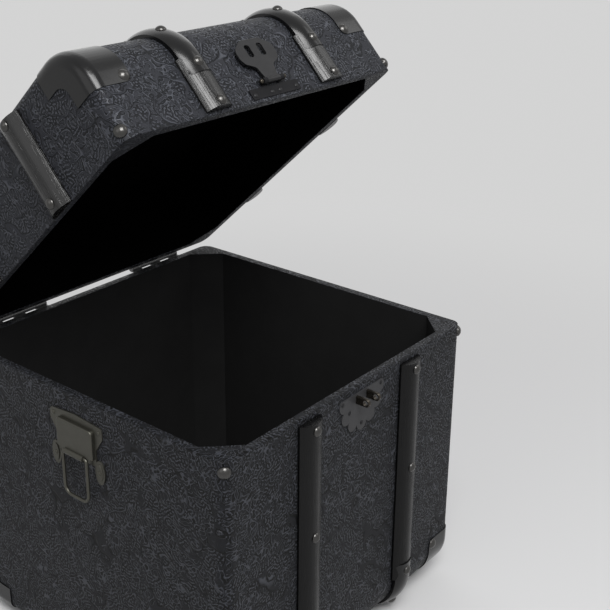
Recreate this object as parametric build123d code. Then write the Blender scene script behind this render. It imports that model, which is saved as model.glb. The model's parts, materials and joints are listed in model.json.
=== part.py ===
from build123d import *
import math
import os

# Travel trunk: a square covered box with a deep lid, half-round slats, pressed metal caps, a
# hasp and a drop handle on each end. Millimetres, +Z up, +X to the right seen from the front,
# +Y to the back. The origin is the centre of the footprint, on the floor under the two skids.
# Everything is drawn with the underside of the box at z = 0 and the lid shut. The lid is then
# swung open about the hinge pins, and the trunk is lifted by the height of its skids.

# The two boxes
trunk_width = 400.0
trunk_depth = 400.0
body_height = 328.0
lid_height = 110.0
edge_radius = 44.0
corner_round = 3.0
board = 8.4
cover = 0.7
lining = 0.5
post_leg = 31.0
rim_gap = 0.6
lid_open_angle = 42.9

# Slats
slat_width = 34.0
slat_height = 11.0
slat_flank = 2.5
slat_spacing = 172.0
slat_overrun = 20.0
slat_tip_height = 6.0
body_slat_gap = 5.5
lid_slat_gap = 3.5
side_slat_spacing = 160.0
side_slat_top_gap = 9.0
side_slat_overhang = 0.4
skid_height = 10.0
front_offset = 6.0

# Pressed caps over the ends of the slats
cap_width = 29.0
cap_leg = 25.0
cap_skin = 1.2
cap_waist = 7.6
cap_flare = 0.6
cap_flank_share = 0.45
cap_corner = 4.0
back_leg = 15.0
back_leg_height = 6.4

# Pressed corner caps
corner_cap_width = 36.0
corner_cap_leg = 14.0
corner_cap_side = 30.0
corner_cap_skin = 1.2
corner_cap_round = 8.0

# Nails
nail_radius = 5.5
nail_height = 3.2
nail_skirt = 1.6
nail_edge = 0.25
small_nail_radius = 2.4
small_nail_height = 1.3
body_nail_inset = 8.5
lid_nail_inset = 5.5
nail_spacing = 120.0
cap_nail_inset = 11.0
corner_cap_nail_inset = 6.8
rim_nail_drop = 7.6
rim_nail_lift = 1.0

# Lock plate and lugs
lock_half_width = 38.0
lock_top_drop = 7.6
lock_centre_drop = 14.4
lock_plate_thickness = 1.2
lock_lobe_radius = 8.0
lock_lobes = 7
lock_nail_places = ((-33.0, 3.0), (33.0, 3.0), (-21.0, -11.0), (21.0, -11.0), (0.0, -30.0))
lug_spacing = 18.0
lug_reach = 17.5
lug_height = 9.2
lug_plate = 4.0
lug_edge = 1.2
lug_hole_radius = 3.0

# Hasp and its leaf
hasp_pin_rise = 19.2
hasp_pin_offset = 5.0
hasp_pin_radius = 1.5
hasp_ball_radius = 2.5
hasp_knuckle_radius = 3.0
hasp_arm_width = 5.0
hasp_arm_gap = 0.3
hasp_plate = 1.6
hasp_reach = 48.0
hasp_neck_half = 9.6
hasp_waist_half = 12.5
hasp_waist_reach = 15.5
hasp_shoulder_half = 24.0
hasp_shoulder_reach = 21.0
hasp_bulb_half = 27.5
hasp_bulb_start = 27.0
hasp_bulb_end = 38.0
hasp_top_half = 13.0
hasp_lip_depth = 3.8
hasp_leaf_half = 36.0
hasp_leaf_foot = 3.5
hasp_leaf_top = 15.0
hasp_leaf_plate = 1.2
hasp_nail_rise = 8.0
hasp_nail_places = (-31.0, -6.0, 6.0, 31.0)
slot_side_clearance = 1.8
slot_end_clearance = 2.6

# Back hinges
hinge_spacing = 218.0
hinge_length = 80.0
hinge_back = 7.0
hinge_rise = 2.0
hinge_barrel_radius = 3.4
hinge_pin_radius = 1.5
hinge_leaf = 1.4
hinge_leaf_height = 20.0
hinge_knuckles = 5
hinge_knuckle_gap = 0.4
hinge_screws = 3
hinge_screw_radius = 3.0
running_clearance = 0.06

# Side handles
handle_top_drop = 19.0
handle_top_slope = 3.0
handle_half_width = 39.0
handle_neck_half = 28.5
handle_shoulder_drop = 34.0
handle_neck_drop = 50.0
handle_foot_drop = 68.0
handle_corner = 5.0
handle_plate = 1.5
bridge_height = 5.5
bridge_margin = 9.0
bridge_foot_drop = 60.0
bridge_wall = 1.6
petal_centre = 33.0
petal_drop = 73.0
petal_half_width = 7.0
petal_half_length = 13.5
petal_rise = 0.9
rivet_radius = 2.6
rivet_places = ((34.0, 27.5), (33.0, 73.0))
bail_wire_radius = 1.8
bail_half_width = 18.0
bail_drop = 50.0
bail_pivot_drop = 62.6
bail_pivot_offset = 5.4
bail_knuckle_radius = 3.3
bail_knuckle_gap = 0.5
bail_top_radius = 3.5
bail_foot_radius = 9.0

# Places worked out from the sizes above
half_width = trunk_width / 2
half_depth = trunk_depth / 2
wall = cover + board
straight = half_depth - edge_radius
lid_rim = body_height + rim_gap
lid_top = lid_rim + lid_height
hinge_y = half_depth + hinge_back
hinge_z = body_height + hinge_rise
pin_z = lid_rim + hasp_pin_rise
lock_z = body_height - lock_centre_drop
slot_reach = pin_z - lock_z
slat_lines = (front_offset - slat_spacing / 2, front_offset + slat_spacing / 2)
side_slat_lines = (-side_slat_spacing / 2, side_slat_spacing / 2)
front_wall = Plane(origin=(0, -half_depth, 0), x_dir=(1, 0, 0), z_dir=(0, -1, 0))
left_wall = Plane(origin=(-half_width, 0, 0), x_dir=(0, -1, 0), z_dir=(-1, 0, 0))


def span_box(x_range, y_range, z_range):
    """A plain block between three pairs of limits."""
    ranges = (x_range, y_range, z_range)
    size = [high - low for low, high in ranges]
    middle = [(low + high) / 2 for low, high in ranges]
    return Pos(*middle) * Box(*size)


def group(shapes):
    """Several separate solids in one piece of the model."""
    return Compound(children=[one for shape in shapes for one in shape.solids()])


def four_corners(shape):
    """A shape on the front left, and its reflections on the other three corners."""
    right = mirror(shape, Plane.YZ)
    return group([shape, right, mirror(shape, Plane.XZ), mirror(right, Plane.XZ)])


def on_lines(shape, lines):
    """Copies of a shape on lines across the width."""
    return group([Pos(x, 0, 0) * shape for x in lines])


def largest(shape):
    """The largest solid that a cut left."""
    return max(shape.solids(), key=lambda one: one.volume)


def flip(shape):
    """Turns a piece of a box upside down, on to the lid."""
    return Pos(0, 0, lid_top) * mirror(shape, Plane.XY)


def side_outline(inset, top):
    """The side view of a box, taken in by an inset: round bottom edges, square rim."""
    half = half_depth - inset
    radius = edge_radius - inset
    with BuildSketch(Plane.YZ) as outline:
        with BuildLine():
            Polyline((-half, inset + radius), (-half, top), (half, top), (half, inset + radius))
            RadiusArc((half, inset + radius), (half - radius, inset), radius)
            Line((half - radius, inset), (-half + radius, inset))
            RadiusArc((-half + radius, inset), (-half, inset + radius), radius)
        make_face()
    return outline.sketch


def block(inset, top):
    """A box as one solid, its outside taken in by an inset, up to a height."""
    half = half_width - inset
    solid = extrude(side_outline(inset, top), amount=half, both=True)
    rims = [
        edge
        for edge in solid.edges()
        if abs(abs(edge.center().X) - half) < 0.01 and edge.center().Z < top - 0.01
    ]
    return fillet(rims, corner_round - inset)


def cavity(inset, top, leg):
    """The space inside a box: round bottom edges and cut-off corners."""
    inner_x = half_width - inset
    with BuildSketch() as plan:
        Rectangle(2 * inner_x, 2 * (half_depth - inset))
        chamfer(plan.vertices(), leg)
    prism = extrude(plan.sketch, amount=top)
    return prism & extrude(side_outline(inset, top), amount=inner_x, both=True)


def carcass(height):
    """One open box: boards, bent edges, corner posts, covering and lining."""
    rim = height - cover
    inner_x = half_width - wall
    inner_y = half_depth - wall
    span = (-inner_x, inner_x)
    pieces = {}
    outer = block(cover, rim)
    end_room = span_box((-half_width, -inner_x), (-half_depth, half_depth), (0, height))
    pieces["left_end"] = outer & end_room
    pieces["right_end"] = mirror(pieces["left_end"], Plane.YZ)
    skin = (-half_depth + cover, -inner_y)
    pieces["front_panel"] = span_box(span, skin, (edge_radius, rim))
    pieces["back_panel"] = mirror(pieces["front_panel"], Plane.XZ)
    pieces["floor"] = span_box(span, (-straight, straight), (cover, wall))
    tube = Cylinder(edge_radius - cover, 2 * inner_x, rotation=(0, 90, 0))
    tube -= Cylinder(edge_radius - wall, 2 * half_width, rotation=(0, 90, 0))
    quarter = span_box(span, (-edge_radius, 0), (-edge_radius, 0))
    pieces["front_bend"] = Pos(0, -straight, edge_radius) * (tube & quarter)
    pieces["back_bend"] = mirror(pieces["front_bend"], Plane.XZ)
    with BuildSketch() as corner:
        with BuildLine():
            Polyline(
                (-inner_x, -inner_y),
                (-inner_x + post_leg, -inner_y),
                (-inner_x, -inner_y + post_leg),
                close=True,
            )
        make_face()
    room = extrude(side_outline(wall, rim), amount=inner_x, both=True)
    pieces["corner_posts"] = four_corners(extrude(corner.sketch, amount=rim) & room)
    lined_leg = post_leg - lining * (2 - math.sqrt(2))
    hollow = cavity(wall + lining, height, lined_leg)
    pieces["lining"] = cavity(wall, rim, post_leg) - hollow
    pieces["covering"] = block(0, height) - block(cover, rim) - hollow
    return pieces


def slat_section(width, height, flank, plane):
    """The half-round section of a slat, standing on the X axis of a plane."""
    half = width / 2
    with BuildSketch(plane) as section:
        with BuildLine():
            Polyline((-half, flank), (-half, 0), (half, 0), (half, flank))
            ThreePointArc((half, flank), (0, height), (-half, flank))
        make_face()
    return section.sketch


def slat(length, tips=(), rebate=0.0):
    """A slat along +Z, flat on the XZ plane and round towards -Y. The ends named in tips
    thin out to slide under a metal cap."""
    base = Plane(origin=(0, 0, 0), x_dir=(-1, 0, 0), z_dir=(0, 0, 1))
    wood = extrude(slat_section(slat_width, slat_height, slat_flank, base), amount=length)
    for tip in tips:
        start = slat_overrun if tip == "low" else length - slat_overrun
        end = 0 if tip == "low" else length
        with BuildSketch(Plane.YZ) as wedge:
            with BuildLine():
                Polyline(
                    (rebate - slat_height, start),
                    (-slat_tip_height, end),
                    (-2 * slat_height, end),
                    (-2 * slat_height, start),
                    close=True,
                )
            make_face()
        wood -= extrude(wedge.sketch, amount=slat_width, both=True)
    return wood


def lying_slat(rebate=0.0):
    """A slat from front to back on the XY plane, round side up, between two metal caps."""
    reach = straight - cap_leg + slat_overrun
    wood = slat(2 * reach, ("low", "high"), rebate)
    return Pos(0, -reach, 0) * (Rot(-90, 0, 0) * wood)


def cap_height(end_height, away):
    """How far a cap stands off the bend: least in the middle, flared towards its legs."""
    return cap_waist + (end_height - cap_waist) * cap_flare * away**2


def slat_cap(wall_leg, wall_height, flat_leg, flat_height, carriers):
    """A pressed cap round the bottom front edge, from its leg on the front wall to its leg
    under the floor, cut to the slats that it covers."""
    sunk = 1.0
    stations = [(-wall_leg, 0.0, wall_height)]
    stations.append((-wall_leg / 2, 0.0, (wall_height + cap_height(wall_height, 1)) / 2))
    for step in range(5):
        end_height = wall_height if step < 2 else flat_height
        stations.append((0.0, 22.5 * step, cap_height(end_height, abs(step - 2) / 2)))
    stations.append((flat_leg / 2, 90.0, (flat_height + cap_height(flat_height, 1)) / 2))
    stations.append((flat_leg, 90.0, flat_height))
    sections = []
    for along, turn, tall in stations:
        onward = Vector(0, 0, -1).rotate(Axis.X, turn)
        outward = Vector(0, -1, 0).rotate(Axis.X, turn)
        foot = Vector(0, -straight, edge_radius) + outward * (edge_radius - sunk) + onward * along
        plane = Plane(origin=foot, x_dir=(1, 0, 0), z_dir=onward)
        sections.append(slat_section(cap_width, tall + sunk, tall * cap_flank_share + sunk, plane))
    cap = loft(sections)
    cap -= rounded_end(cap_width / 2, edge_radius + wall_leg)
    flat_end = Rot(90, 0, 0) * rounded_end(cap_width / 2, flat_leg - straight)
    cap -= flat_end
    cap -= block(0, body_height)
    for carrier in carriers:
        cap -= carrier
    return largest(cap)


def rounded_end(half, end):
    """What is cut off the two corners of a strip that ends at a height, seen from the front."""
    deep = 2 * trunk_depth
    cutter = span_box((-half - 1, half + 1), (-deep, deep), (end - cap_corner, end + 1))
    with BuildSketch(Plane.XZ) as keep:
        with Locations((0, end - 3 * cap_corner)):
            RectangleRounded(2 * half, 6 * cap_corner, cap_corner)
    return cutter - extrude(keep.sketch, amount=deep, both=True)


def corner_cap():
    """The pressed cap on the bottom front left corner: a strip up the front, round the bend
    and under the floor, with a band on the end of the box."""
    left = -half_width - corner_cap_skin
    front = -half_depth - corner_cap_skin
    inner = -half_width + corner_cap_width
    reach = edge_radius + corner_cap_leg
    back = -half_depth + reach
    shell = block(-corner_cap_skin, body_height) - block(0, body_height)
    cap = shell & span_box((left, inner), (front, back), (-corner_cap_skin, reach))
    window = span_box(
        (left - 1, -half_width),
        (-half_depth + corner_cap_side, back + 1),
        (corner_cap_side, reach + 1),
    )
    bend = window.edges().filter_by(Axis.X).sort_by_distance((left, -half_depth, 0))[0]
    cap -= fillet(bend, max(edge_radius - corner_cap_side, corner_round))
    turn = corner_cap_round
    deep = trunk_depth
    upper = span_box((inner - turn, inner + 1), (-deep, -straight), (reach - turn, reach + 1))
    upper -= Pos(inner - turn, 0, reach - turn) * Cylinder(turn, 3 * deep, rotation=(90, 0, 0))
    lower = span_box((inner - turn, inner + 1), (back - turn, back + 1), (-deep, edge_radius))
    lower -= Pos(inner - turn, back - turn, 0) * Cylinder(turn, 3 * deep)
    return cap - upper - lower


def nail(point, direction, carriers=(), radius=nail_radius, height=nail_height, lift=0.0):
    """A domed nail, its crown pointing in a direction, seated on what it is driven into."""
    foot = -nail_skirt - lift if carriers else 0.0
    sagitta = height - nail_edge
    ball = (radius**2 + sagitta**2) / (2 * sagitta)
    turn = math.asin(radius / ball) / 2
    halfway = (ball * math.sin(turn), height - ball + ball * math.cos(turn))
    with BuildSketch(Plane.XZ) as half:
        with BuildLine():
            Polyline((0, height), (0, foot), (radius, foot), (radius, nail_edge))
            ThreePointArc((radius, nail_edge), halfway, (0, height))
        make_face()
    away = Vector(*direction).normalized()
    head = Plane(origin=Vector(*point) + away * lift, z_dir=away) * revolve(half.sketch, Axis.Z)
    for carrier in carriers:
        head -= carrier
    return largest(head)


def slat_nails(slats, rim, inset, first, last, step):
    """Nails down the crest of the front slats, clear of the caps."""
    heads = []
    count = int(abs(last - first) // nail_spacing) + 1
    for line in slat_lines:
        for index in range(count):
            height = rim + step * (inset + nail_spacing * index)
            place = (line, -half_depth - slat_height, height)
            heads.append(nail(place, (0, -1, 0), slats))
    return heads


def cap_nails(cap, wall_leg, wall_height, flat_leg=0.0, flat_height=0.0):
    """Nails in one cap: on its wall leg, in the middle of the bend and on its flat leg."""
    wall_inset = min(cap_nail_inset, wall_leg / 2)
    wall_share = (wall_leg - wall_inset) / wall_leg
    near = cap_height(wall_height, 1)
    wall_off = near + (wall_height - near) * wall_share
    wall_place = (0, -half_depth - wall_off, edge_radius + wall_leg - wall_inset)
    heads = [nail(wall_place, (0, -1, 0), [cap])]
    slant = (edge_radius + cap_waist) / math.sqrt(2)
    bend_place = (0, -straight - slant, edge_radius - slant)
    heads.append(nail(bend_place, (0, -1, -1), [cap]))
    if flat_leg:
        flat_inset = min(cap_nail_inset, flat_leg / 2)
        flat_near = cap_height(flat_height, 1)
        flat_off = flat_near + (flat_height - flat_near) * (flat_leg - flat_inset) / flat_leg
        flat_place = (0, -straight + flat_leg - flat_inset, -flat_off)
        heads.append(nail(flat_place, (0, 0, -1), [cap]))
    return group(heads)


def corner_cap_nails():
    """The two nails of the front left corner cap, on the front and under the floor."""
    side = -half_width + corner_cap_width - corner_cap_nail_inset
    reach = edge_radius + corner_cap_leg - corner_cap_nail_inset
    front = nail((side, -half_depth - corner_cap_skin, reach), (0, -1, 0))
    under = nail((side, -half_depth + reach, -corner_cap_skin), (0, 0, -1))
    return group([front, under])


def rim_nail(height, covering):
    """The nail on the front left upright corner."""
    tuck = corner_round * (1 - 1 / math.sqrt(2))
    place = (-half_width + tuck, -half_depth + tuck, height)
    return nail(place, (-1, -1, 0), covering, lift=rim_nail_lift)


def knuckle(length, radius, bore, plate, offset):
    """A rolled tube along X, with a flat arm from its top back to a wall in +Y."""
    tube = Cylinder(radius, length, rotation=(0, 90, 0))
    half = length / 2
    tube += span_box((-half, half), (0, offset), (radius - plate, radius))
    return tube - Cylinder(bore, length + 1, rotation=(0, 90, 0))


def hinge_places():
    """The middle of each knuckle of a back hinge, and the length of one."""
    length = (hinge_length - (hinge_knuckles - 1) * hinge_knuckle_gap) / hinge_knuckles
    start = (length - hinge_length) / 2
    return [start + index * (length + hinge_knuckle_gap) for index in range(hinge_knuckles)], length


def hinge_leaf_piece(first, bore):
    """The upper leaf of a back hinge at x = 0, with every second knuckle from the first."""
    places, length = hinge_places()
    low = hinge_z + hinge_barrel_radius - hinge_leaf
    half = hinge_length / 2
    face = (half_depth, half_depth + hinge_leaf)
    leaf = span_box((-half, half), face, (low, low + hinge_leaf_height))
    corners = leaf.edges().filter_by(Axis.Y).group_by(Axis.Z)[-1]
    leaf = fillet(corners, hinge_leaf)
    rolled = knuckle(length, hinge_barrel_radius, bore, hinge_leaf, hinge_back)
    rolled = mirror(rolled, Plane.XZ)
    for place in places[first::2]:
        leaf += Pos(place, hinge_y, hinge_z) * rolled
    return leaf


def hinge_screw_heads():
    """The screw heads on the upper leaf of a back hinge at x = 0."""
    height = hinge_z + hinge_barrel_radius - hinge_leaf + hinge_leaf_height / 2
    step = hinge_length / hinge_screws
    heads = []
    for index in range(hinge_screws):
        place = ((index - (hinge_screws - 1) / 2) * step, half_depth + hinge_leaf, height)
        heads.append(nail(place, (0, 1, 0), (), hinge_screw_radius, small_nail_height))
    return group(heads)


def below_hinge(shape):
    """Reflects an upper hinge piece to the leaf on the body."""
    return Pos(0, 0, 2 * hinge_z) * mirror(shape, Plane.XY)


def lock_plate_piece():
    """The scalloped plate under the hasp, flat along its top."""
    ring = lock_half_width - lock_lobe_radius
    top = lock_z + lock_centre_drop - lock_top_drop
    with BuildSketch(front_wall) as plate:
        with Locations((front_offset, lock_z)):
            Circle(ring + 1)
            with PolarLocations(ring, lock_lobes, 180, 180, endpoint=True):
                Circle(lock_lobe_radius)
        with Locations((front_offset, top + lock_half_width)):
            Rectangle(3 * lock_half_width, 2 * lock_half_width, mode=Mode.SUBTRACT)
    return extrude(plate.sketch, amount=lock_plate_thickness)


def lug():
    """One padlock lug at x = 0: a plate with a round end and a hole."""
    root = -half_depth - lock_plate_thickness
    end = -half_depth - lug_reach + lug_height / 2
    with BuildSketch(Plane.YZ) as outline:
        with Locations(((root + end) / 2, lock_z)):
            Rectangle(root - end, lug_height)
        with Locations((end, lock_z)):
            Circle(lug_height / 2)
    solid = extrude(outline.sketch, amount=lug_plate / 2, both=True)
    rims = [edge for edge in solid.edges() if edge.length > lug_plate and edge.center().Y < root - 0.1]
    solid = fillet(rims, lug_edge)
    return solid - Pos(0, end, lock_z) * Cylinder(lug_hole_radius, 2 * lug_plate, rotation=(0, 90, 0))


def hasp_piece():
    """The hasp, flipped up: a slotted shield rolled round its pin."""
    along = front_wall.offset(hasp_pin_offset - hasp_plate / 2)
    half_outline = [
        (hasp_neck_half, 0, 0),
        (hasp_neck_half, hasp_knuckle_radius + hasp_arm_gap, 0),
        (hasp_waist_half, hasp_waist_reach, 5.0),
        (hasp_shoulder_half, hasp_shoulder_reach, 5.0),
        (hasp_bulb_half, hasp_bulb_start, 8.0),
        (hasp_bulb_half, hasp_bulb_end, 9.0),
        (hasp_top_half, hasp_reach, 0),
    ]
    right = [(front_offset + x, pin_z + y, radius) for x, y, radius in half_outline]
    left = [(front_offset - x, pin_z + y, radius) for x, y, radius in reversed(half_outline)]
    with BuildSketch(along) as plate:
        with BuildLine():
            FilletPolyline(
                *[(x, z) for x, z, radius in right + left],
                radius=[radius for x, z, radius in right + left],
                close=True,
            )
        make_face()
        slot_width = lug_plate + 2 * slot_side_clearance
        slot_length = lug_height + 2 * slot_end_clearance
        for side in (-0.5, 0.5):
            with Locations((front_offset + side * lug_spacing, pin_z + slot_reach)):
                RectangleRounded(slot_width, slot_length, slot_width / 2.5, mode=Mode.SUBTRACT)
    shield = extrude(plate.sketch, amount=hasp_plate)
    outside = -half_depth - hasp_pin_offset - hasp_plate / 2
    top = pin_z + hasp_reach
    sides = (front_offset - hasp_top_half, front_offset + hasp_top_half)
    lip = span_box(sides, (outside, outside + hasp_lip_depth), (top - hasp_plate, top))
    shield += lip
    crest = shield.edges().filter_by(Axis.X).group_by(Axis.Z)[-1].sort_by(Axis.Y)[0]
    shield = fillet(crest, hasp_plate * 0.9)
    middle = (front_offset, -half_depth - hasp_pin_offset, pin_z)
    length = 2 * hasp_neck_half
    shield += Pos(*middle) * Cylinder(hasp_knuckle_radius, length, rotation=(0, 90, 0))
    bore = hasp_pin_radius + running_clearance
    return shield - Pos(*middle) * Cylinder(bore, 2 * length, rotation=(0, 90, 0))


def hasp_leaf_piece():
    """The leaf on the lid that carries the hasp's pin in two rolled arms."""
    face = (-half_depth - hasp_leaf_plate, -half_depth)
    low = lid_rim + hasp_leaf_foot
    sides = (front_offset - hasp_leaf_half, front_offset + hasp_leaf_half)
    leaf = span_box(sides, face, (low, lid_rim + hasp_leaf_top))
    leaf = fillet(leaf.edges().filter_by(Axis.Y), hasp_leaf_plate)
    rolled = knuckle(
        hasp_arm_width, hasp_knuckle_radius, hasp_pin_radius, hasp_leaf_plate, hasp_pin_offset
    )
    for side in (-1, 1):
        place = front_offset + side * (hasp_neck_half + hasp_arm_gap + hasp_arm_width / 2)
        limits = (place - hasp_arm_width / 2, place + hasp_arm_width / 2)
        leaf += span_box(limits, face, (low, pin_z + hasp_knuckle_radius))
        leaf += Pos(place, -half_depth - hasp_pin_offset, pin_z) * rolled
    return leaf


def hasp_pin_piece():
    """The hasp's pin, with a ball on each end."""
    half = hasp_neck_half + hasp_arm_gap + hasp_arm_width
    ball = half + math.sqrt(hasp_ball_radius**2 - hasp_pin_radius**2)
    pin = Cylinder(hasp_pin_radius, 2 * ball, rotation=(0, 90, 0))
    pin += Pos(-ball, 0, 0) * Sphere(hasp_ball_radius)
    pin += Pos(ball, 0, 0) * Sphere(hasp_ball_radius)
    return Pos(front_offset, -half_depth - hasp_pin_offset, pin_z) * pin


def handle_plate_piece():
    """The left handle's pressed plate: shoulders, a raised bridge rolled round the bail, and
    two petals below."""
    rim = body_height
    shoulder = [
        (0, rim - handle_top_drop),
        (handle_half_width, rim - handle_top_drop - handle_top_slope),
        (handle_half_width, rim - handle_shoulder_drop),
        (handle_neck_half, rim - handle_neck_drop),
        (handle_neck_half, rim - handle_foot_drop),
    ]
    other = [(-x, y) for x, y in reversed(shoulder[1:])]
    with BuildSketch(left_wall) as flat:
        with BuildLine():
            Polyline(*shoulder, *other, close=True)
        make_face()
        fillet(flat.vertices().filter_by(lambda corner: abs(corner.Y) > 1), handle_corner)
        with Locations(
            (-petal_centre, rim - petal_drop),
            (petal_centre, rim - petal_drop),
        ):
            Ellipse(petal_half_width, petal_half_length)
    plate = extrude(flat.sketch, amount=handle_plate)
    with BuildSketch(left_wall.offset(handle_plate)) as bosses:
        with Locations(
            (-petal_centre, rim - petal_drop),
            (petal_centre, rim - petal_drop),
        ):
            Ellipse(petal_half_width * 0.62, petal_half_length * 0.74)
    raised = extrude(bosses.sketch, amount=petal_rise)
    plate += chamfer(raised.faces().sort_by(Axis.X)[0].edges(), petal_rise * 0.6)
    top = rim - handle_top_drop - bridge_margin
    foot = rim - bridge_foot_drop
    side = handle_neck_half - bail_wire_radius
    bridge = Pos(-half_width - bridge_height / 2, 0, (top + foot) / 2) * Box(
        bridge_height, 2 * side, top - foot
    )
    uprights = bridge.edges().filter_by(Axis.X).group_by(Axis.Z)[-1]
    bridge = fillet(uprights, handle_corner)
    outer = bridge.faces().sort_by(Axis.X)[0].edges().sort_by(Axis.Z)[1:]
    bridge = fillet(outer, bridge_wall)
    inside = side - 2 * bridge_wall
    bridge -= span_box(
        (-half_width - bridge_height + bridge_wall, -half_width - handle_plate),
        (-inside, inside),
        (foot - 1, top - 2 * bridge_wall),
    )
    plate += bridge
    pivot = rim - bail_pivot_drop
    tube_half = bail_half_width - bail_top_radius - bail_knuckle_gap
    plate += span_box(
        (-half_width - bridge_height, -half_width - bridge_height + bridge_wall),
        (-tube_half, tube_half),
        (pivot, foot + 1),
    )
    axis = Pos(-half_width - bail_pivot_offset, 0, pivot)
    plate += axis * Cylinder(bail_knuckle_radius, 2 * tube_half, rotation=(90, 0, 0))
    bore = bail_wire_radius + running_clearance
    return plate - axis * Cylinder(bore, 4 * tube_half, rotation=(90, 0, 0))


def bail_piece():
    """The left handle's bail: one closed loop of wire, hanging."""
    pivot = body_height - bail_pivot_drop
    foot = pivot - bail_drop
    frame = Plane(origin=(-half_width - bail_pivot_offset, 0, 0), x_dir=(0, 1, 0), z_dir=(1, 0, 0))
    with BuildLine(frame) as path:
        FilletPolyline(
            (0, pivot),
            (bail_half_width, pivot),
            (bail_half_width, foot),
            (0, foot),
            radius=[bail_top_radius, bail_foot_radius],
        )
    start = Plane(origin=path.line @ 0, z_dir=path.line % 0)
    with BuildSketch(start) as wire:
        Circle(bail_wire_radius)
    half = sweep(wire.sketch, path=path.line)
    return half + mirror(half, Plane.XZ)


def handle_rivet_heads():
    """The rivets of the left handle plate."""
    heads = []
    for across, drop in rivet_places:
        raised = petal_rise if drop > handle_foot_drop else 0.0
        for side in (-1, 1):
            place = (-half_width - handle_plate - raised, side * across, body_height - drop)
            heads.append(nail(place, (-1, 0, 0), (), rivet_radius, small_nail_height))
    return group(heads)


def body_pieces():
    """Everything that stays with the body, with the underside at z = 0."""
    found = {f"body_{name}": piece for name, piece in carcass(body_height).items()}
    low = edge_radius + cap_leg - slat_overrun
    front = Pos(0, -half_depth, low) * slat(body_height - body_slat_gap - low, ("low",))
    found["front_slat_left"] = Pos(slat_lines[0], 0, 0) * front
    found["front_slat_right"] = Pos(slat_lines[1], 0, 0) * front
    rebate = slat_height - skid_height + cap_skin
    skid = mirror(lying_slat(rebate), Plane.XY)
    floor = span_box((-slat_width, slat_width), (-half_depth, half_depth), (-skid_height, 0))
    skid &= floor
    found["skid_left"] = Pos(slat_lines[0], 0, 0) * skid
    found["skid_right"] = Pos(slat_lines[1], 0, 0) * skid
    proud = slat_height + cap_skin
    room = span_box(
        (-slat_width, slat_width), (-trunk_depth, trunk_depth), (-skid_height, body_height)
    )
    near = slat_cap(cap_leg, proud, cap_leg, skid_height, [front, skid]) & room
    far = slat_cap(back_leg, back_leg_height, cap_leg, skid_height, [mirror(skid, Plane.XZ)]) & room
    found["body_slat_caps_front"] = on_lines(near, slat_lines)
    found["body_slat_caps_back"] = on_lines(mirror(far, Plane.XZ), slat_lines)
    found["body_corner_caps"] = four_corners(corner_cap())
    slats = [found["front_slat_left"], found["front_slat_right"]]
    last = edge_radius + cap_leg + 2 * nail_radius
    first = body_height - body_slat_gap - body_nail_inset
    rim = body_height - body_slat_gap
    heads = slat_nails(slats, rim, body_nail_inset, first, last, -1)
    heads.append(on_lines(cap_nails(near, cap_leg, proud), slat_lines))
    far_nails = mirror(cap_nails(far, back_leg, back_leg_height), Plane.XZ)
    heads.append(on_lines(far_nails, slat_lines))
    heads.append(four_corners(corner_cap_nails()))
    heads.append(four_corners(rim_nail(body_height - rim_nail_drop, [block(0, body_height)])))
    found["body_dome_nails"] = group(heads)
    found["lock_plate"] = lock_plate_piece()
    face = -half_depth - lock_plate_thickness
    places = [(front_offset + x, face, lock_z + z) for x, z in lock_nail_places]
    small = (small_nail_radius, small_nail_height)
    found["lock_plate_nails"] = group([nail(place, (0, -1, 0), (), *small) for place in places])
    lug_lines = (front_offset - lug_spacing / 2, front_offset + lug_spacing / 2)
    found["lock_lugs"] = on_lines(lug(), lug_lines)
    found["handle_plate_left"] = handle_plate_piece()
    found["handle_plate_right"] = mirror(found["handle_plate_left"], Plane.YZ)
    rivets = handle_rivet_heads()
    found["handle_rivets"] = group([rivets, mirror(rivets, Plane.YZ)])
    found["handle_bail_left"] = bail_piece()
    found["handle_bail_right"] = mirror(found["handle_bail_left"], Plane.YZ)
    lines = (-hinge_spacing / 2, hinge_spacing / 2)
    leaf = below_hinge(hinge_leaf_piece(0, hinge_pin_radius))
    found["hinge_body_leaves"] = on_lines(leaf, lines)
    found["hinge_screws_body"] = on_lines(below_hinge(hinge_screw_heads()), lines)
    pin = Pos(0, hinge_y, hinge_z) * Cylinder(hinge_pin_radius, hinge_length, rotation=(0, 90, 0))
    found["hinge_pins"] = on_lines(pin, lines)
    return found


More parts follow.
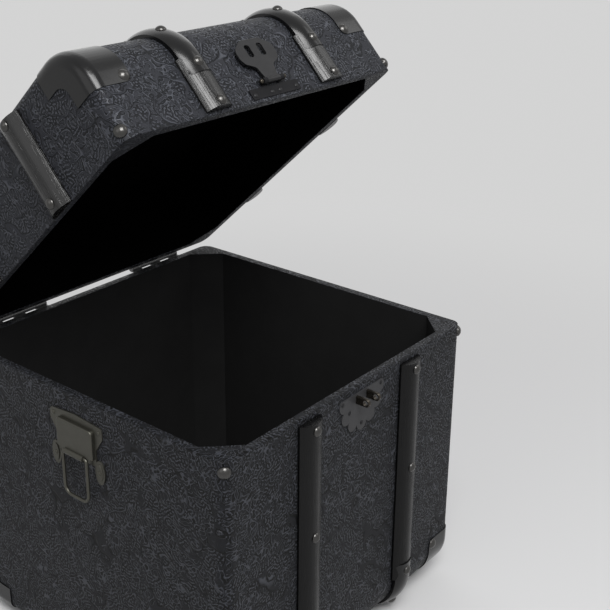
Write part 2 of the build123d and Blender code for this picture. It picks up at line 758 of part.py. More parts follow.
def lid_pieces():
    """Everything that swings with the lid, drawn shut."""
    found = {f"lid_{name}": flip(piece) for name, piece in carcass(lid_height).items()}
    found["lid_top_panel"] = found.pop("lid_floor")
    low = edge_radius + cap_leg - slat_overrun
    front = Pos(0, -half_depth, low) * slat(lid_height - lid_slat_gap - low, ("low",))
    laid = mirror(lying_slat(), Plane.XY)
    for name, line in zip(("left", "right"), slat_lines):
        found[f"lid_front_slat_{name}"] = Pos(line, 0, 0) * flip(front)
        found[f"lid_top_slat_{name}"] = Pos(line, 0, 0) * flip(laid)
    proud = slat_height + cap_skin
    near = slat_cap(cap_leg, proud, cap_leg, proud, [front, laid])
    far = slat_cap(back_leg, back_leg_height, cap_leg, proud, [mirror(laid, Plane.XZ)])
    found["lid_slat_caps_front"] = on_lines(flip(near), slat_lines)
    found["lid_slat_caps_back"] = on_lines(flip(mirror(far, Plane.XZ)), slat_lines)
    found["lid_corner_caps"] = flip(four_corners(corner_cap()))
    side_length = lid_height + side_slat_overhang - side_slat_top_gap
    upright = Pos(0, 0, lid_rim - side_slat_overhang) * (Rot(0, 0, -90) * slat(side_length))
    left = group([Pos(-half_width, y, 0) * upright for y in side_slat_lines])
    found["lid_side_slats"] = group([left, mirror(left, Plane.YZ)])
    rim = lid_rim + lid_slat_gap
    slats = [found["lid_front_slat_left"], found["lid_front_slat_right"]]
    heads = slat_nails(slats, rim, lid_nail_inset, 0, 0, 1)
    heads.append(on_lines(flip(cap_nails(near, cap_leg, proud, cap_leg, proud)), slat_lines))
    far_nails = cap_nails(far, back_leg, back_leg_height, cap_leg, proud)
    heads.append(on_lines(flip(mirror(far_nails, Plane.XZ)), slat_lines))
    heads.append(flip(four_corners(corner_cap_nails())))
    heads.append(flip(four_corners(rim_nail(lid_height - rim_nail_drop, [block(0, lid_height)]))))
    crest = -half_width - slat_height
    ends = (rim + lid_nail_inset, lid_top - side_slat_top_gap - lid_nail_inset)
    places = [(crest, y, z) for y in side_slat_lines for z in ends]
    side_nails = group([nail(place, (-1, 0, 0), [left]) for place in places])
    heads.append(group([side_nails, mirror(side_nails, Plane.YZ)]))
    found["lid_dome_nails"] = group(heads)
    found["hasp_base_plate"] = hasp_leaf_piece()
    face = -half_depth - hasp_leaf_plate
    height = lid_rim + hasp_nail_rise
    small = (small_nail_radius, small_nail_height)
    heads = [
        nail((front_offset + x, face, height), (0, -1, 0), (), *small) for x in hasp_nail_places
    ]
    found["hasp_base_nails"] = group(heads)
    found["hasp_pin"] = hasp_pin_piece()
    found["hasp"] = hasp_piece()
    lines = (-hinge_spacing / 2, hinge_spacing / 2)
    leaf = hinge_leaf_piece(1, hinge_pin_radius + running_clearance)
    found["hinge_lid_leaves"] = on_lines(leaf, lines)
    found["hinge_screws_lid"] = on_lines(hinge_screw_heads(), lines)
    return found


def swing_open(shape):
    """Opens a lid piece about the hinge pins."""
    return shape.rotate(Axis((0, hinge_y, hinge_z), (1, 0, 0)), -lid_open_angle)


def main():
    """Builds every piece and writes each one to its own file."""
    os.makedirs("parts", exist_ok=True)
    pieces = body_pieces()
    for name, piece in lid_pieces().items():
        pieces[name] = swing_open(piece)
    for name, piece in pieces.items():
        lifted = Pos(0, 0, skid_height) * piece
        export_step(lifted, f"parts/{name}.step")


if __name__ == "__main__":
    main()
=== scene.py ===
import json
import math

import bmesh
import bpy
from mathutils import Matrix, Vector


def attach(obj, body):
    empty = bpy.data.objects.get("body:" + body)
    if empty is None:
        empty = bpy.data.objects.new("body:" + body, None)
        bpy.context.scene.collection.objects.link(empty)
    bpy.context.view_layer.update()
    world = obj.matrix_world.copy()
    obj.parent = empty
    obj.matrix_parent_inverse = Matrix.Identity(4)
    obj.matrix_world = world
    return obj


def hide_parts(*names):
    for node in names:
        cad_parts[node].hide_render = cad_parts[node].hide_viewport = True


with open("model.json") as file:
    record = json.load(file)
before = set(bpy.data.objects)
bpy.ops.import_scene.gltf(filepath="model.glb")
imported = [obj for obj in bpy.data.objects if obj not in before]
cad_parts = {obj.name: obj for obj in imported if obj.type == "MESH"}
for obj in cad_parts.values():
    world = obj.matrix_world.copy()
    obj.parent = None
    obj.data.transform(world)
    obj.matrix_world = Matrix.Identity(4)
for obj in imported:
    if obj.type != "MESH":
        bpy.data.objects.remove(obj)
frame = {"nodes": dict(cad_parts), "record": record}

bl_info = {
    "name": "Travel trunk",
    "version": (1, 0, 0),
    "blender": (4, 5, 0),
    "location": "View3D > Sidebar > Trunk",
    "description": "Dresses a travel trunk: embossed covering, slats, caps, nails and fittings",
    "category": "Object",
}

# The trunk's own sizes, in metres

MM = 0.001
LID_ANGLE = math.radians(42.9)
HINGE = Vector((0.0, 0.207, 0.340))
HALF_WIDTH = 200 * MM
STRAIGHT = 156 * MM
BEND = 44 * MM
BODY_BEND_LEVEL = 10 * MM + BEND
LID_BEND_LEVEL = 448.6 * MM - BEND
BODY_RIM_LEVEL = 337.4 * MM
LID_RIM_LEVEL = 339.2 * MM

# The rounded ends: the radius that the solids have, and what is moved with the larger one

DRAWN_ROUND = 3 * MM
INNER_DEPTH = 8 * MM
FLANGE_START = 14 * MM
FLANGE_END = 36 * MM
FLANGE_GAIN = 9 * MM
NAIL_DROP = 2 * MM
NAIL_GAIN = 1.14
ROUND_STEPS = 4
BEND_STEPS = 7
CUT_MARGIN = 0.6 * MM
MERGE = 0.001 * MM
SHARP_ANGLE = math.radians(32)
BOARDS = ("panel", "_end", "floor", "bend", "posts")

# The embossed covering: pitches of its curls, and how far from level a face still counts as turned

LOOP_PITCH = 7.2 * MM
WORM_PITCH = 3.7 * MM
SWEEP_PITCH = 34 * MM
TURNED = 0.7
END_SHIFT = 0.7

# The stage: backdrop, sky, lamps (name, place, target, size, power) and camera

BACKDROP = 0.655
FADE_START, FADE_END = 0.40, 1.5
SKY_COLOUR = (0.28, 0.28, 0.29)
BOUNCE_SHARE = 0.6
FLOOR_RADIUS = 12.0
LAMPS = (
    ("lamp_front", (-0.95, -1.50, 2.60), (0.0, 0.0, 0.5), 1.5, 86.0),
    ("lamp_right", (1.95, -1.25, 2.1), (0.0, -0.1, 0.5), 1.6, 12.0),
    ("lamp_left", (-2.3, 0.2, 1.6), (0.0, 0.0, 0.3), 1.6, 6.0),
    ("lamp_back", (1.6, 2.2, 1.7), (0.0, 0.0, 0.4), 3.2, 15.0),
)
CAMERA_PLACE = (-0.8183, -0.7768, 0.8571)
CAMERA_AIM = (0.7178, 0.6002, -0.3528)
CAMERA_SHIFT = (0.0467, -0.0856)
CAMERA_CLIP = (0.05, 60.0)

rounded = {}


# The rounded ends

def shut_turn(on_lid):
    """The turn that lays a piece of the open lid back on the shut trunk."""
    if not on_lid:
        return Matrix.Identity(4)
    there = Matrix.Translation(HINGE)
    return there @ Matrix.Rotation(LID_ANGLE, 4, "X") @ there.inverted()


def depth_under_wall(place, on_lid):
    """How deep a point lies under the front, bend, top or floor, and the way in."""
    away = abs(place.y) - STRAIGHT
    side = math.copysign(1.0, place.y)
    up = place.z - LID_BEND_LEVEL if on_lid else BODY_BEND_LEVEL - place.z
    outward_z = 1.0 if on_lid else -1.0
    if up <= 0:
        return BEND - away, Vector((0.0, -side, 0.0))
    if away <= 0:
        return BEND - up, Vector((0.0, 0.0, -outward_z))
    reach = math.hypot(away, up)
    return BEND - reach, -Vector((0.0, side * away / reach, outward_z * up / reach))


def rounded_place(place, on_lid, radius):
    """Where a point near the edge of an end goes when that edge gets a larger radius."""
    under_end = HALF_WIDTH - abs(place.x)
    under_wall, inward = depth_under_wall(place, on_lid)
    if under_end >= radius or under_wall >= radius:
        return place
    if under_end < DRAWN_ROUND and under_wall < DRAWN_ROUND:
        proud = math.hypot(DRAWN_ROUND - under_end, DRAWN_ROUND - under_wall) - DRAWN_ROUND
    else:
        proud = max(-under_end, -under_wall)
    if proud < -DRAWN_ROUND:
        return place
    reach = radius + proud
    from_end, from_wall = radius - under_end, radius - under_wall
    ray = Vector((from_end, from_wall)).normalized() * reach
    if under_end > INNER_DEPTH:
        ray = Vector((from_end, math.sqrt(reach ** 2 - from_end ** 2)))
    elif under_wall > INNER_DEPTH:
        ray = Vector((math.sqrt(reach ** 2 - from_wall ** 2), from_wall))
    in_x = from_end - ray.x
    in_wall = from_wall - ray.y
    return place + Vector((-math.copysign(in_x, place.x), 0.0, 0.0)) + inward * in_wall


def cut(shape, faces, point, normal):
    """Divides faces along a plane."""
    edges = dict.fromkeys(edge for face in faces for edge in face.edges)
    corners = dict.fromkeys(corner for face in faces for corner in face.verts)
    parts = [*corners, *edges, *faces]
    bmesh.ops.bisect_plane(shape, geom=parts, dist=MERGE, plane_co=point, plane_no=normal)


def on_end(face):
    """Whether a face lies flat on the outside of an end."""
    outside = HALF_WIDTH - 0.1 * MM
    return abs(face.normal.x) > 0.99 and abs(face.calc_center_median().x) > outside


def divide_ends(shape, on_lid, radius):
    """Adds the edges that a larger radius needs, along both sides of each end's edge."""
    steps = [math.tan(math.pi / 4 * step / ROUND_STEPS) for step in range(ROUND_STEPS)]
    depths = [radius + CUT_MARGIN] + [radius * (1 - step) for step in steps]
    level = LID_BEND_LEVEL if on_lid else BODY_BEND_LEVEL
    for depth in depths:
        for side in (-1, 1):
            cut(shape, shape.faces[:], (side * (HALF_WIDTH - depth), 0, 0), (1, 0, 0))
    for depth in depths:
        for side in (-1, 1):
            for turn in range(BEND_STEPS + 1):
                angle = math.pi / 2 * turn / BEND_STEPS
                outward_z = math.sin(angle) * (1 if on_lid else -1)
                normal = Vector((0.0, side * math.cos(angle), outward_z))
                point = Vector((0.0, side * STRAIGHT, level)) + normal * (BEND - depth)
                cut(shape, [face for face in shape.faces if on_end(face)], point, normal)


def seat_nail(island, on_lid, radius):
    """Moves the nails of the upright corners and corner caps to their places, a little larger."""
    middle = sum((corner.co for corner in island), Vector()) / len(island)
    under_end = HALF_WIDTH - abs(middle.x)
    if max(under_end, depth_under_wall(middle, on_lid)[0]) <= DRAWN_ROUND:
        tuck = (radius - DRAWN_ROUND) * (1 - math.sqrt(0.5))
        away = NAIL_DROP if on_lid else -NAIL_DROP
        shift = Vector((-math.copysign(tuck, middle.x), -math.copysign(tuck, middle.y), away))
    elif FLANGE_START < under_end < FLANGE_END:
        shift = Vector((-math.copysign(FLANGE_GAIN, middle.x), 0.0, 0.0))
    else:
        return
    for corner in island:
        corner.co = middle + (corner.co - middle) * NAIL_GAIN + shift


def widen_flange(corner):
    """Draws a corner cap out further along the wall, from past its bend."""
    share = (HALF_WIDTH - abs(corner.co.x) - FLANGE_START) / FLANGE_GAIN
    corner.co.x -= math.copysign(FLANGE_GAIN * min(1.0, max(0.0, share)), corner.co.x)


def islands(shape):
    """The separate solids of a mesh, as lists of their corners."""
    seen = set()
    for first in shape.verts:
        if first in seen:
            continue
        seen.add(first)
        island, ready = [], [first]
        while ready:
            corner = ready.pop()
            island.append(corner)
            for edge in corner.link_edges:
                near = edge.other_vert(corner)
                if near not in seen:
                    seen.add(near)
                    ready.append(near)
        yield island


def round_node(name, body, radius, way):
    """Puts a copy with rounder end edges in the place of a CAD node.

    The way is "divided" for thin pieces that show, "plain" for boards and "nails" for nails.
    """
    on_lid = body == "lid"
    shape = bmesh.new()
    shape.from_mesh(frame["nodes"][name].data)
    bmesh.ops.remove_doubles(shape, verts=shape.verts, dist=MERGE)
    turn = shut_turn(on_lid)
    bmesh.ops.transform(shape, matrix=turn, verts=shape.verts)
    if way == "nails":
        for island in list(islands(shape)):
            seat_nail(island, on_lid, radius)
    else:
        if way == "divided":
            divide_ends(shape, on_lid, radius)
            bmesh.ops.triangulate(shape, faces=shape.faces)
        for corner in shape.verts:
            corner.co = rounded_place(corner.co, on_lid, radius)
            if name.endswith("corner_caps"):
                widen_flange(corner)
    bmesh.ops.transform(shape, matrix=turn.inverted(), verts=shape.verts)
    mesh = bpy.data.meshes.new("rounded_" + name)
    shape.to_mesh(mesh)
    shape.free()
    for face in mesh.polygons:
        face.use_smooth = True
    mesh.set_sharp_from_angle(angle=SHARP_ANGLE)
    piece = bpy.data.objects.new("rounded_" + name, mesh)
    bpy.context.scene.collection.objects.link(piece)
    even = piece.modifiers.new("even_shading", "WEIGHTED_NORMAL")
    even.keep_sharp = True
    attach(piece, body)
    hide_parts(name)
    rounded[name] = piece


# Material helpers

def put(tree, kind, inputs=None, **settings):
    """Adds a node, with its settings and the values or links of its inputs."""
    made = tree.nodes.new(kind)
    for name, value in settings.items():
        setattr(made, name, value)
    for key, value in (inputs or {}).items():
        if isinstance(value, bpy.types.NodeSocket):
            tree.links.new(value, made.inputs[key])
        else:
            made.inputs[key].default_value = value
    return made


def calc(tree, operation, first, second=0.0, third=0.0, clamp=False):
    """One Math node; returns its output."""
    values = {0: first, 1: second, 2: third}
    return put(tree, "ShaderNodeMath", values, operation=operation, use_clamp=clamp).outputs[0]


def smooth_step(tree, value, low, high):
    """0 below one limit, 1 above the other, smooth between them."""
    values = {"Value": value, "From Min": low, "From Max": high}
    made = put(tree, "ShaderNodeMapRange", values, interpolation_type="SMOOTHSTEP")
    return made.outputs["Result"]


def blend_colour(tree, share, first, second, mode="MIX"):
    """Mixes two colours."""
    made = put(tree, "ShaderNodeMix", {"Factor": share}, data_type="RGBA", blend_type=mode)
    for key, value in ((6, first), (7, second)):
        if isinstance(value, bpy.types.NodeSocket):
            tree.links.new(value, made.inputs[key])
        else:
            made.inputs[key].default_value = (*value, 1.0)
    return made.outputs[2]


def noise(tree, place, scale, detail=3.0, roughness=0.5):
    """Plain noise at a scale in cells a metre."""
    values = {"Vector": place, "Scale": scale, "Detail": detail, "Roughness": roughness}
    return put(tree, "ShaderNodeTexNoise", values).outputs["Fac"]


def fresh_material(name):
    """An empty material with its output and its main shader."""
    made = bpy.data.materials.new(name)
    made.use_nodes = True
    tree = made.node_tree
    tree.nodes.clear()
    shader = put(tree, "ShaderNodeBsdfPrincipled")
    output = put(tree, "ShaderNodeOutputMaterial")
    tree.links.new(shader.outputs[0], output.inputs["Surface"])
    return made, tree, shader


def shut_place(tree, on_lid, what="Object"):
    """Where a point lies on the shut trunk, in metres; for the lid, turned back with it."""
    coordinates = put(tree, "ShaderNodeTexCoord").outputs[what]
    if not on_lid:
        return coordinates
    turn = Matrix.Rotation(LID_ANGLE, 3, "X")
    shift = HINGE - turn @ HINGE
    values = {"Vector": coordinates, "Rotation": (LID_ANGLE, 0.0, 0.0)}
    if what == "Normal":
        return put(tree, "ShaderNodeMapping", values, vector_type="VECTOR").outputs[0]
    values["Location"] = tuple(shift)
    return put(tree, "ShaderNodeMapping", values, vector_type="POINT").outputs[0]


def choose(tree, share, first, second):
    """Mixes two values."""
    return put(tree, "ShaderNodeMix", {0: share, 2: first, 3: second}).outputs[0]


def bump(tree, shader, height, depth):
    """Feeds a height into the shader's normal."""
    values = {"Height": height, "Distance": depth, "Strength": 1.0}
    made = put(tree, "ShaderNodeBump", values)
    tree.links.new(made.outputs[0], shader.inputs["Normal"])


def unrolled_place(tree, on_lid):
    """The covering laid out flat: along the width, and up the front, round the bend and over."""
    place = put(tree, "ShaderNodeSeparateXYZ", {0: shut_place(tree, on_lid)}).outputs
    facing = put(tree, "ShaderNodeSeparateXYZ", {0: shut_place(tree, on_lid, "Normal")}).outputs
    level = LID_BEND_LEVEL if on_lid else BODY_BEND_LEVEL
    away = calc(tree, "ABSOLUTE", place[1])
    up = calc(tree, "MULTIPLY", calc(tree, "SUBTRACT", place[2], level), 1.0 if on_lid else -1.0)
    beyond = calc(tree, "MAXIMUM", calc(tree, "SUBTRACT", away, STRAIGHT), 0.00001)
    above = calc(tree, "MAXIMUM", up, 0.0)
    turned = calc(tree, "MULTIPLY", calc(tree, "ARCTAN2", above, beyond), BEND)
    over = calc(tree, "SUBTRACT", STRAIGHT, calc(tree, "MINIMUM", away, STRAIGHT))
    along = calc(tree, "ADD", calc(tree, "ADD", calc(tree, "MINIMUM", up, 0.0), turned), over)
    crest = BEND * math.pi / 2 + STRAIGHT
    rest = calc(tree, "SUBTRACT", crest, along)
    along = calc(tree, "ADD", crest, calc(tree, "MULTIPLY", calc(tree, "SIGN", place[1]), rest))
    if on_lid:
        rim = calc(tree, "LESS_THAN", place[2], LID_RIM_LEVEL)
    else:
        rim = calc(tree, "GREATER_THAN", place[2], BODY_RIM_LEVEL)
    level_face = calc(tree, "GREATER_THAN", calc(tree, "ABSOLUTE", facing[2]), TURNED)
    along = choose(tree, calc(tree, "MULTIPLY", rim, level_face), along, place[1])
    end = calc(tree, "GREATER_THAN", calc(tree, "ABSOLUTE", facing[0]), TURNED)
    across = choose(tree, end, place[0], calc(tree, "ADD", place[1], END_SHIFT))
    upward = choose(tree, end, along, place[2])
    return put(tree, "ShaderNodeCombineXYZ", {"X": across, "Y": upward, "Z": 0.0}).outputs[0]


def curls(tree, place, pitch, waves=3.0):
    """Short curly waves that run every way, about one pitch apart: their height and strength."""
    values = {"Vector": place, "Scale": 1 / (pitch * waves), "Frequency": waves, "Anisotropy": 0.0}
    made = put(tree, "ShaderNodeTexGabor", values, gabor_type="2D").outputs
    return made["Value"], made["Intensity"]


def ridge(tree, value, level, width, edge):
    """A line where a value passes a level, as a height from 0 to 1."""
    off = calc(tree, "ABSOLUTE", calc(tree, "SUBTRACT", value, level))
    return calc(tree, "SUBTRACT", 1.0, smooth_step(tree, off, width, width + edge))


def wander(tree, place):
    """A place on the covering, shifted to and fro so that the curls don't run straight."""
    drift = put(tree, "ShaderNodeTexNoise", {"Vector": place, "Scale": 90.0, "Detail": 1.0})
    values = {0: drift.outputs["Color"], 1: (0.006, 0.006, 0.0), 2: place}
    return put(tree, "ShaderNodeVectorMath", values, operation="MULTIPLY_ADD").outputs[0]


def scrolls(tree, flat):
    """The raised lines and the grooves of the covering, as two heights from 0 to 1."""
    drift = wander(tree, flat)
    looped = curls(tree, drift, LOOP_PITCH, 2.0)[0]
    wormed = curls(tree, flat, WORM_PITCH)[0]
    sweep, strength = curls(tree, drift, SWEEP_PITCH, 1.4)
    patch = smooth_step(tree, noise(tree, flat, 45.0, 1.0), 0.44, 0.54)
    loop_line = ridge(tree, looped, 0.5, 0.030, 0.035)
    loop_groove = ridge(tree, looped, 0.61, 0.035, 0.04)
    worm_line = ridge(tree, wormed, 0.62, 0.06, 0.04)
    worm_groove = ridge(tree, wormed, 0.46, 0.05, 0.04)
    leaf_shown = smooth_step(tree, strength, 0.10, 0.22)
    leaf = calc(tree, "MULTIPLY", ridge(tree, sweep, 0.5, 0.006, 0.010), leaf_shown)
    leaf_groove = ridge(tree, sweep, 0.52, 0.004, 0.010)
    clear = calc(tree, "SUBTRACT", 1.0, ridge(tree, sweep, 0.5, 0.020, 0.016))
    wear = smooth_step(tree, noise(tree, flat, 60.0, 2.0, 0.6), 0.30, 0.44)
    heights = []
    for loop, worm, sweeping in ((loop_line, worm_line, leaf), (loop_groove, worm_groove, leaf_groove)):
        height = calc(tree, "MULTIPLY", choose(tree, patch, loop, worm), clear)
        height = calc(tree, "MAXIMUM", height, sweeping)
        heights.append(calc(tree, "MULTIPLY", height, wear))
    return heights


def covering_material(on_lid, ground, line_painted_highlight, groove_painted_shade, depth):
    """Charcoal leatherette with raised curls and loops, each with a groove beside it; painted highlight
    lightens the curls and painted shade darkens the grooves.
    """
    made, tree, shader = fresh_material("leatherette_lid_painted_light" if on_lid else "leatherette_body")
    flat = unrolled_place(tree, on_lid)
    lines, grooves = scrolls(tree, flat)
    shade = calc(tree, "MULTIPLY", noise(tree, flat, 9.0, 2.0), 0.5)
    base = blend_colour(tree, shade, ground, tuple(0.6 * part for part in ground))
    # Painted shade: the grooves are darkened in colour.
    base = blend_colour(tree, grooves, base, groove_painted_shade)
    # Painted highlight: the raised lines are lightened in colour.
    base = blend_colour(tree, lines, base, line_painted_highlight)
    tree.links.new(base, shader.inputs["Base Color"])
    rough = put(tree, "ShaderNodeMapRange", {"Value": lines, "To Min": 0.62, "To Max": 0.40})
    tree.links.new(rough.outputs[0], shader.inputs["Roughness"])
    shader.inputs["Specular IOR Level"].default_value = 0.22
    grain = noise(tree, flat, 1100.0, 2.0)
    height = calc(tree, "MULTIPLY_ADD", grain, 0.25, calc(tree, "SUBTRACT", lines, grooves))
    bump(tree, shader, height, depth)
    return made


def plain_material(name, colour, roughness, metallic=0.0, gloss=0.5, mottle=0.15, scale=60.0):
    """A finish with soft blotches in its colour and roughness and a fine grain."""
    made, tree, shader = fresh_material(name)
    shader.inputs["Specular IOR Level"].default_value = gloss
    place = put(tree, "ShaderNodeTexCoord").outputs["Object"]
    blotch = noise(tree, place, scale, 4.0, 0.6)
    share = calc(tree, "MULTIPLY", blotch, mottle * 2)
    base = blend_colour(tree, share, colour, tuple(0.55 * part for part in colour))
    tree.links.new(base, shader.inputs["Base Color"])
    spread = {"Value": blotch, "To Min": roughness * 0.8, "To Max": roughness * 1.25}
    rough = put(tree, "ShaderNodeMapRange", spread)
    tree.links.new(rough.outputs[0], shader.inputs["Roughness"])
    shader.inputs["Metallic"].default_value = metallic
    bump(tree, shader, noise(tree, place, 900.0, 3.0), 0.02 * MM)
    return made


def slat_material(name, on_lid, along, colour, gloss):
    """Satin black paint over open-grained wood, its grain along one axis."""
    made, tree, shader = fresh_material(name)
    shader.inputs["Specular IOR Level"].default_value = gloss
    scale = tuple(16.0 if axis == along else 900.0 for axis in "xyz")
    place = shut_place(tree, on_lid)
    stretched = put(tree, "ShaderNodeMapping", {"Vector": place, "Scale": scale}).outputs[0]
    streak = noise(tree, stretched, 1.0, 3.0, 0.6)
    pores = smooth_step(tree, streak, 0.56, 0.66)
    base = blend_colour(tree, pores, colour, tuple(0.2 * part for part in colour))
    tree.links.new(base, shader.inputs["Base Color"])
    rough = put(tree, "ShaderNodeMapRange", {"Value": streak, "To Min": 0.16, "To Max": 0.36})
    tree.links.new(rough.outputs[0], shader.inputs["Roughness"])
    height = calc(tree, "MULTIPLY_ADD", pores, -0.6, streak)
    bump(tree, shader, height, 0.2 * MM)
    return made


def dress(names, material):
    """Gives CAD nodes, or the rounder copies in their places, a material."""
    for name in names:
        piece = rounded.get(name, frame["nodes"][name])
        piece.data.materials.clear()
        piece.data.materials.append(material)


# Settings that a user would change

class TrunkCovering(bpy.types.PropertyGroup):
    colour: bpy.props.FloatVectorProperty(
        name="Colour", description="Ground colour of the leatherette", subtype="COLOR",
        default=(0.0072, 0.0077, 0.0096), min=0.0, max=1.0,
    )
    # Painted shade: the grooves beside the curls get a near-black colour, as if shade were falling in
    # them.
    groove_painted_shade: bpy.props.FloatVectorProperty(
        name="Groove colour", description="Colour of the grooves beside the curls", subtype="COLOR",
        default=(0.0005, 0.0006, 0.0008), min=0.0, max=1.0,
    )
    # Painted highlight: the raised scrolls get a lighter colour, as if light were catching them.
    line_painted_highlight: bpy.props.FloatVectorProperty(
        name="Line colour", description="Colour of the raised scrolls", subtype="COLOR",
        default=(0.0410, 0.0440, 0.0530), min=0.0, max=1.0,
    )
    depth: bpy.props.FloatProperty(
        name="Depth", description="Height of the scrolls", default=0.0007, min=0.0, max=0.002,
        subtype="DISTANCE", unit="LENGTH",
    )
    # Painted light: the lid's covering is the same cloth as the body's, lightened by this factor to
    # stand in for the light falling on the lid.
    lid_painted_light: bpy.props.FloatProperty(
        name="Lid share", description="How light the lid's covering is against the body's",
        default=2.7, min=0.0, max=4.0, subtype="FACTOR",
    )


class TrunkFittings(bpy.types.PropertyGroup):
    slat_colour: bpy.props.FloatVectorProperty(
        name="Slats", description="Paint of the slats", subtype="COLOR",
        default=(0.0016, 0.0016, 0.0017), min=0.0, max=1.0,
    )
    cap_colour: bpy.props.FloatVectorProperty(
        name="Caps", description="Lacquer of the metal caps", subtype="COLOR",
        default=(0.0015, 0.0015, 0.0018), min=0.0, max=1.0,
    )


class TrunkStage(bpy.types.PropertyGroup):
    floor_colour: bpy.props.FloatVectorProperty(
        name="Floor", description="Colour of the floor and backdrop", subtype="COLOR",
        default=(0.62, 0.62, 0.62), min=0.0, max=1.0,
    )
    focal_length: bpy.props.FloatProperty(
        name="Focal length", description="Camera's focal length in millimetres",
        default=65.35, min=10.0, max=300.0, subtype="DISTANCE_CAMERA",
    )


class TrunkEnds(bpy.types.PropertyGroup):
    radius: bpy.props.FloatProperty(
        name="Edge radius", description="Radius of the edges round the two ends", default=0.012,
        min=0.004, max=0.030, subtype="DISTANCE", unit="LENGTH",
    )


class TRUNK_OT_ends(bpy.types.Operator):
    """Round the edges of the two ends, under the caps too"""
    bl_idname = "trunk.ends"
    bl_label = "Rounded ends"

    def execute(self, context):
        radius = context.scene.trunk_ends.radius
        for body, prefix in (("trunk_body", "body_"), ("lid", "lid_")):
            for name in frame["record"]["behaviour"]["bodies"][body]:
                if name in (prefix + "covering", prefix + "corner_caps"):
                    round_node(name, body, radius, "divided")
                elif name == prefix + "dome_nails":
                    round_node(name, body, radius, "nails")
                elif name.endswith(BOARDS):
                    round_node(name, body, radius, "plain")
        return {"FINISHED"}


class TRUNK_OT_covering(bpy.types.Operator):
    """Dress the embossed leatherette"""
    bl_idname = "trunk.covering"
    bl_label = "Covering"

    def execute(self, context):
        look = context.scene.trunk_covering
        # Painted light: the lid gets a lighter copy of the body's leatherette, each colour raised by
        # the lid share to its power.
        powers = ((look.colour, 1), (look.line_painted_highlight, 0.2), (look.groove_painted_shade, 2))
        for on_lid, share in ((False, 1.0), (True, look.lid_painted_light)):
            colours = [tuple(share ** power * part for part in colour) for colour, power in powers]
            material = covering_material(on_lid, *colours, look.depth)
            dress(["lid_covering" if on_lid else "body_covering"], material)
        return {"FINISHED"}


class TRUNK_OT_lining(bpy.types.Operator):
    """Dress the lining and the hidden boards"""
    bl_idname = "trunk.lining"
    bl_label = "Lining and boards"

    def execute(self, context):
        grey = (0.016, 0.016, 0.016)
        lining = plain_material("lining_body", grey, 0.9, gloss=0.08, mottle=0.3, scale=25.0)
        dress(["body_lining"], lining)
        # Painted shade: the lid's lining is the same cloth as the body's, painted near black to stand
        # in for the shade inside the open lid.
        black = (0.0013, 0.0013, 0.0013)
        dress(["lid_lining"], plain_material("lining_lid_painted_shade", black, 0.95, gloss=0.02, scale=25.0))
        board = plain_material("board", (0.30, 0.22, 0.15), 0.7, scale=20.0)
        dress([name for name in frame["nodes"] if name.endswith(BOARDS)], board)
        return {"FINISHED"}


class TRUNK_OT_slats(bpy.types.Operator):
    """Dress the slats and skids"""
    bl_idname = "trunk.slats"
    bl_label = "Slats"

    def execute(self, context):
        colour = tuple(context.scene.trunk_fittings.slat_colour)
        front = slat_material("slat_front", False, "z", colour, 0.22)
        dress(["front_slat_left", "front_slat_right"], front)
        skid = slat_material("slat_skid", False, "y", colour, 0.15)
        dress(["skid_left", "skid_right"], skid)
        upright = slat_material("slat_lid_front", True, "z", colour, 0.5)
        dress(["lid_front_slat_left", "lid_front_slat_right", "lid_side_slats"], upright)
        laid = slat_material("slat_lid_top", True, "y", colour, 0.5)
        dress(["lid_top_slat_left", "lid_top_slat_right"], laid)
        return {"FINISHED"}


class TRUNK_OT_caps(bpy.types.Operator):
    """Dress the metal caps"""
    bl_idname = "trunk.caps"
    bl_label = "Caps"

    def execute(self, context):
        colour = tuple(context.scene.trunk_fittings.cap_colour)
        lacquer = plain_material("cap_lacquer", colour, 0.22, gloss=0.4, scale=45.0)
        dress([name for name in frame["nodes"] if "caps" in name], lacquer)
        return {"FINISHED"}


class TRUNK_OT_fittings(bpy.types.Operator):
    """Dress the nails, the lock, the hasp, the handles and the hinges"""
    bl_idname = "trunk.fittings"
    bl_label = "Fittings"

    def execute(self, context):
        dome = plain_material("nail_dome", (0.085, 0.083, 0.080), 0.28, metallic=1.0, scale=200.0)
        plate = plain_material("lock_grey", (0.030, 0.030, 0.032), 0.5, gloss=0.35, scale=90.0)
        swing = plain_material("hasp_grey", (0.010, 0.010, 0.011), 0.42, gloss=0.25, scale=90.0)
        leaf = plain_material("leaf_grey", (0.006, 0.006, 0.007), 0.6, gloss=0.15, scale=90.0)
        bronze = plain_material("bronze", (0.05, 0.044, 0.036), 0.26, metallic=0.9, scale=150.0)
        pewter = plain_material("pewter", (0.085, 0.083, 0.070), 0.42, metallic=0.9, scale=120.0)
        steel = plain_material("hinge_steel", (0.16, 0.16, 0.16), 0.42, metallic=0.9, scale=100.0)
        dress(["body_dome_nails", "lid_dome_nails"], dome)
        dress(["lock_plate"], plate)
        dress(["hasp", "hasp_base_nails", "lock_plate_nails"], swing)
        dress(["hasp_base_plate"], leaf)
        dress(["lock_lugs", "hasp_pin"], bronze)
        dress([name for name in frame["nodes"] if name.startswith("handle")], pewter)
        dress([name for name in frame["nodes"] if name.startswith("hinge")], steel)
        return {"FINISHED"}


class TRUNK_OT_stage(bpy.types.Operator):
    """Lay the floor, hang the lamps and set the camera"""
    bl_idname = "trunk.stage"
    bl_label = "Stage"

    def execute(self, context):
        look = context.scene.trunk_stage
        lay_floor(tuple(look.floor_colour))
        light_sky(context.scene)
        for lamp in LAMPS:
            hang_lamp(*lamp)
        set_camera(context.scene, look.focal_length)
        return {"FINISHED"}


def seen_directly(tree):
    """1 for what the camera sees, also by way of a polished or clear surface."""
    path = put(tree, "ShaderNodeLightPath").outputs
    plain = calc(tree, "MAXIMUM", path["Is Camera Ray"], path["Is Glossy Ray"])
    return calc(tree, "MAXIMUM", plain, path["Is Transmission Ray"])


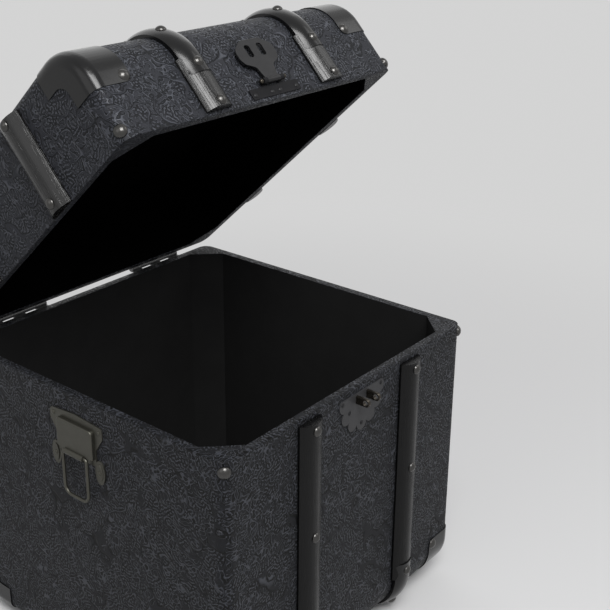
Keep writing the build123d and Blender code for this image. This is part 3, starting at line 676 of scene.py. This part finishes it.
def lay_floor(colour):
    """A round pale floor that fades into the backdrop away from the trunk."""
    mesh = bpy.data.meshes.new("floor")
    shape = bmesh.new()
    bmesh.ops.create_circle(shape, cap_ends=True, segments=96, radius=FLOOR_RADIUS)
    shape.to_mesh(mesh)
    shape.free()
    floor = bpy.data.objects.new("floor", mesh)
    bpy.context.scene.collection.objects.link(floor)
    made, tree, shader = fresh_material("floor")
    seen = seen_directly(tree)
    base = blend_colour(tree, seen, tuple(BOUNCE_SHARE * part for part in colour), colour)
    tree.links.new(base, shader.inputs["Base Color"])
    shader.inputs["Roughness"].default_value = 0.9
    shader.inputs["Specular IOR Level"].default_value = 0.1
    pale = (BACKDROP, BACKDROP, BACKDROP, 1.0)
    glow = put(tree, "ShaderNodeEmission", {"Color": pale, "Strength": 1.0})
    place = put(tree, "ShaderNodeTexCoord").outputs["Object"]
    length = put(tree, "ShaderNodeVectorMath", {0: place}, operation="LENGTH").outputs["Value"]
    far = smooth_step(tree, length, FADE_START, FADE_END)
    share = calc(tree, "MULTIPLY", far, seen)
    mixed = put(tree, "ShaderNodeMixShader", {0: share, 1: shader.outputs[0], 2: glow.outputs[0]})
    output = next(one for one in tree.nodes if one.type == "OUTPUT_MATERIAL")
    tree.links.new(mixed.outputs[0], output.inputs["Surface"])
    mesh.materials.append(made)


def light_sky(scene):
    """An even pale world, seen at the floor's colour."""
    world = bpy.data.worlds.new("studio")
    world.use_nodes = True
    tree = world.node_tree
    tree.nodes.clear()
    shade = blend_colour(tree, seen_directly(tree), SKY_COLOUR, (BACKDROP, BACKDROP, BACKDROP))
    sky = put(tree, "ShaderNodeBackground", {"Color": shade, "Strength": 1.0})
    output = put(tree, "ShaderNodeOutputWorld")
    tree.links.new(sky.outputs[0], output.inputs["Surface"])
    scene.world = world


def hang_lamp(name, place, target, size, power):
    """A square soft lamp that faces a point."""
    light = bpy.data.lights.new(name, "AREA")
    light.energy = power
    light.size = size
    lamp = bpy.data.objects.new(name, light)
    lamp.location = place
    lamp.rotation_euler = (Vector(target) - Vector(place)).to_track_quat("-Z", "Y").to_euler()
    bpy.context.scene.collection.objects.link(lamp)


def set_camera(scene, focal_length):
    """The camera at the photograph's place."""
    camera = bpy.data.cameras.new("camera")
    camera.lens = focal_length
    camera.sensor_width = 36.0
    camera.shift_x, camera.shift_y = CAMERA_SHIFT
    camera.clip_start, camera.clip_end = CAMERA_CLIP
    holder = bpy.data.objects.new("camera", camera)
    holder.location = CAMERA_PLACE
    holder.rotation_mode = "QUATERNION"
    holder.rotation_quaternion = Vector(CAMERA_AIM).to_track_quat("-Z", "Y")
    scene.collection.objects.link(holder)
    scene.camera = holder
    scene.view_settings.view_transform = "Standard"


class TRUNK_PT_panel(bpy.types.Panel):
    """Lists the trunk's steps and settings"""
    bl_idname = "TRUNK_PT_panel"
    bl_label = "Travel trunk"
    bl_space_type = "VIEW_3D"
    bl_region_type = "UI"
    bl_category = "Trunk"

    def draw(self, context):
        for step in STEPS:
            self.layout.operator(step.bl_idname)
        for group_name in GROUPS:
            group = getattr(context.scene, group_name)
            for name in group.__annotations__:
                self.layout.prop(group, name)


STEPS = (
    TRUNK_OT_ends,
    TRUNK_OT_covering,
    TRUNK_OT_lining,
    TRUNK_OT_slats,
    TRUNK_OT_caps,
    TRUNK_OT_fittings,
    TRUNK_OT_stage,
)
GROUPS = {
    "trunk_ends": TrunkEnds,
    "trunk_covering": TrunkCovering,
    "trunk_fittings": TrunkFittings,
    "trunk_stage": TrunkStage,
}


def register():
    """Registers the settings, the operators and the panel."""
    for one in (*GROUPS.values(), *STEPS, TRUNK_PT_panel):
        bpy.utils.register_class(one)
    for name, group in GROUPS.items():
        setattr(bpy.types.Scene, name, bpy.props.PointerProperty(type=group))


def unregister():
    """Takes away what register() added."""
    for name in GROUPS:
        delattr(bpy.types.Scene, name)
    for one in (TRUNK_PT_panel, *reversed(STEPS), *reversed(GROUPS.values())):
        bpy.utils.unregister_class(one)


def main():
    """Dresses the trunk."""
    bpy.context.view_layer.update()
    register()
    for step in STEPS:
        group, name = step.bl_idname.split(".")
        getattr(getattr(bpy.ops, group), name)()


if __name__ == "__main__":
    main()
